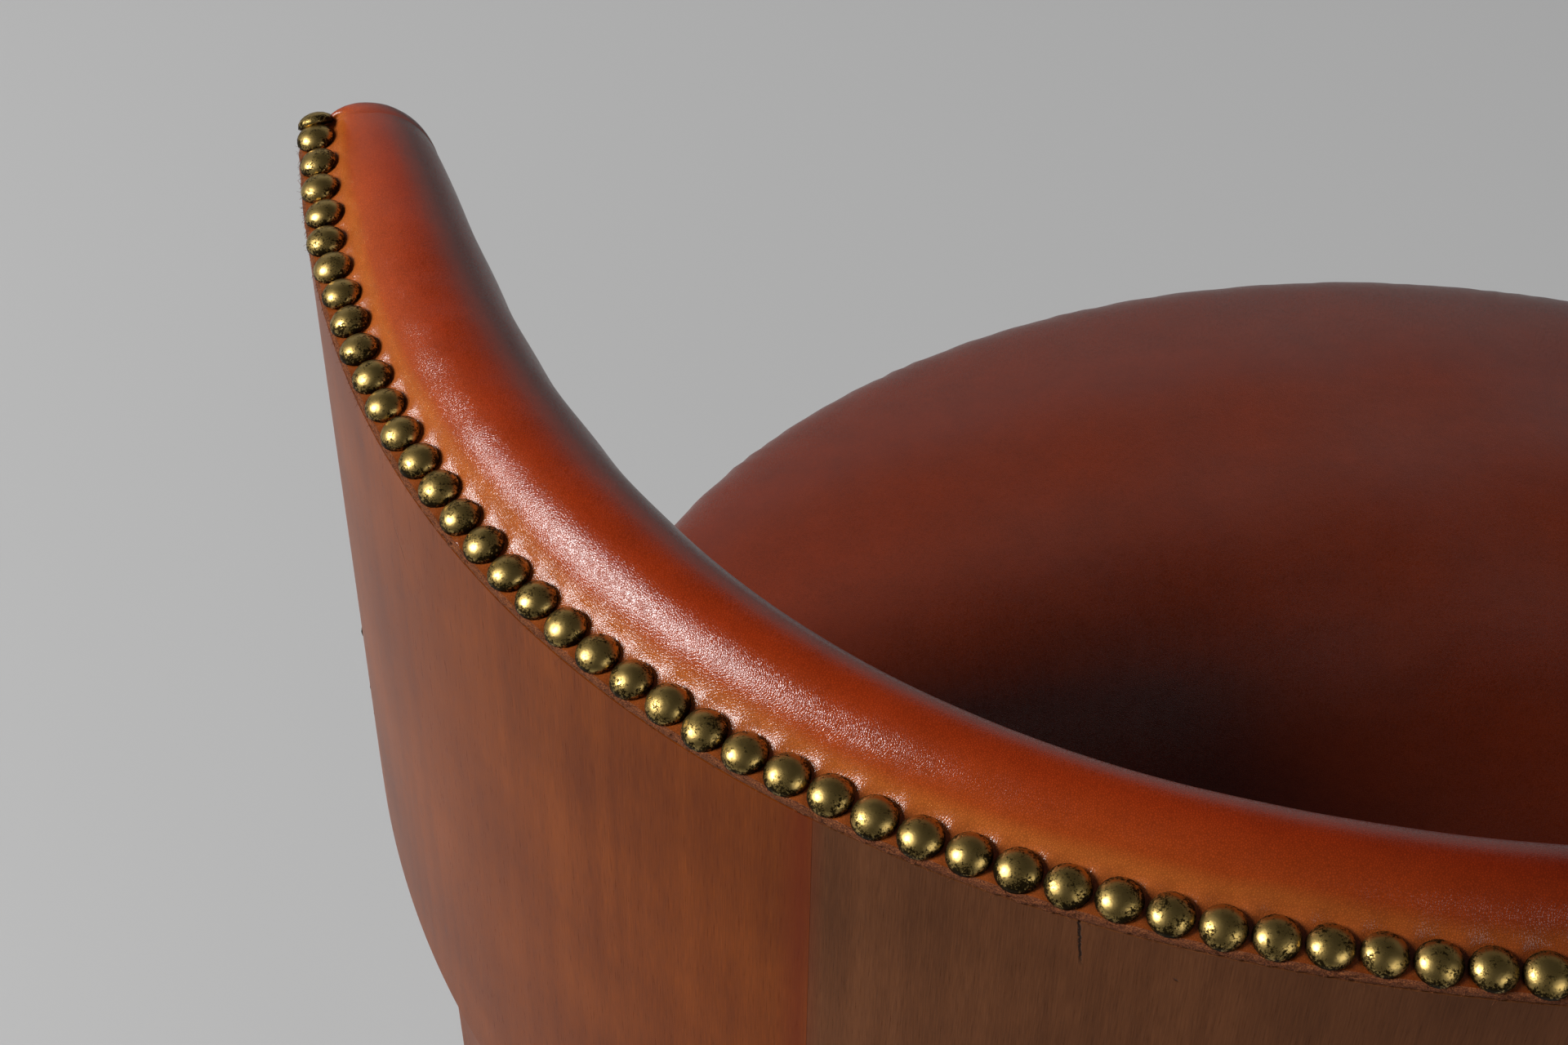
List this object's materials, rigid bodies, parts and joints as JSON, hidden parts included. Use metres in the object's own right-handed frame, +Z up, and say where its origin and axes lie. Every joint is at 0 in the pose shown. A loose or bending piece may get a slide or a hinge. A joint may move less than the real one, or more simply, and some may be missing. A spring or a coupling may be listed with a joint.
{
  "type": "barrel-back armchair",
  "caption": "Barrel-back armchair: a curved wooden shell with a padded leather back nailed along its edge, and a domed leather seat on four tapered legs.",
  "frame": {"origin": "on the floor, under the middle of the chair's bounding box", "axes": "+Z up; +X to the sitter's left arm; +Y to the back of the chair, so the seat faces -Y"},
  "size_m": [0.6758, 0.4954, 0.669],
  "materials": {
    "wood": "satin walnut veneer",
    "hidden_wood": "raw",
    "leather": "waxed, fine grain",
    "brass": "antique patina",
    "steel": "zinc plated",
    "stuffing": "rubberised hair",
    "jute": "woven webbing",
    "cloth": "matte weave",
    "nylon": "satin"
  },
  "bodies": {
    "root": {"back_shell": "hidden_wood", "veneer_left": "wood", "veneer_back": "wood", "veneer_right": "wood", "back_pad": "stuffing", "back_cover": "leather", "back_nails_top": "brass", "back_nails_front_left": "brass", "back_nails_front_right": "brass", "back_stay": "hidden_wood", "shell_screw_1": "steel", "shell_screw_2": "steel", "shell_screw_3": "steel", "shell_screw_4": "steel", "shell_screw_5": "steel", "shell_screw_6": "steel", "seat_cover": "leather", "seat_stuffing": "stuffing", "seat_frame": "hidden_wood", "webbing_front_to_back_1": "jute", "webbing_front_to_back_2": "jute", "webbing_front_to_back_3": "jute", "webbing_front_to_back_4": "jute", "webbing_front_to_back_5": "jute", "webbing_side_to_side_1": "jute", "webbing_side_to_side_2": "jute", "webbing_side_to_side_3": "jute", "seat_rail_left": "wood", "seat_rail_back": "wood", "seat_rail_right": "wood", "seat_rail_front": "wood", "leg_rear_left": "wood", "glide_rear_left": "nylon", "leg_rear_right": "wood", "glide_rear_right": "nylon", "leg_front_left": "wood", "glide_front_left": "nylon", "leg_front_right": "wood", "glide_front_right": "nylon", "corner_block_front_left": "hidden_wood", "corner_block_front_right": "hidden_wood", "corner_block_rear_left": "hidden_wood", "corner_block_rear_right": "hidden_wood", "corner_screw_1": "steel", "corner_screw_2": "steel", "corner_screw_3": "steel", "corner_screw_4": "steel", "corner_screw_5": "steel", "corner_screw_6": "steel", "corner_screw_7": "steel", "corner_screw_8": "steel", "dust_cloth": "cloth"}
  },
  "joints": []
}
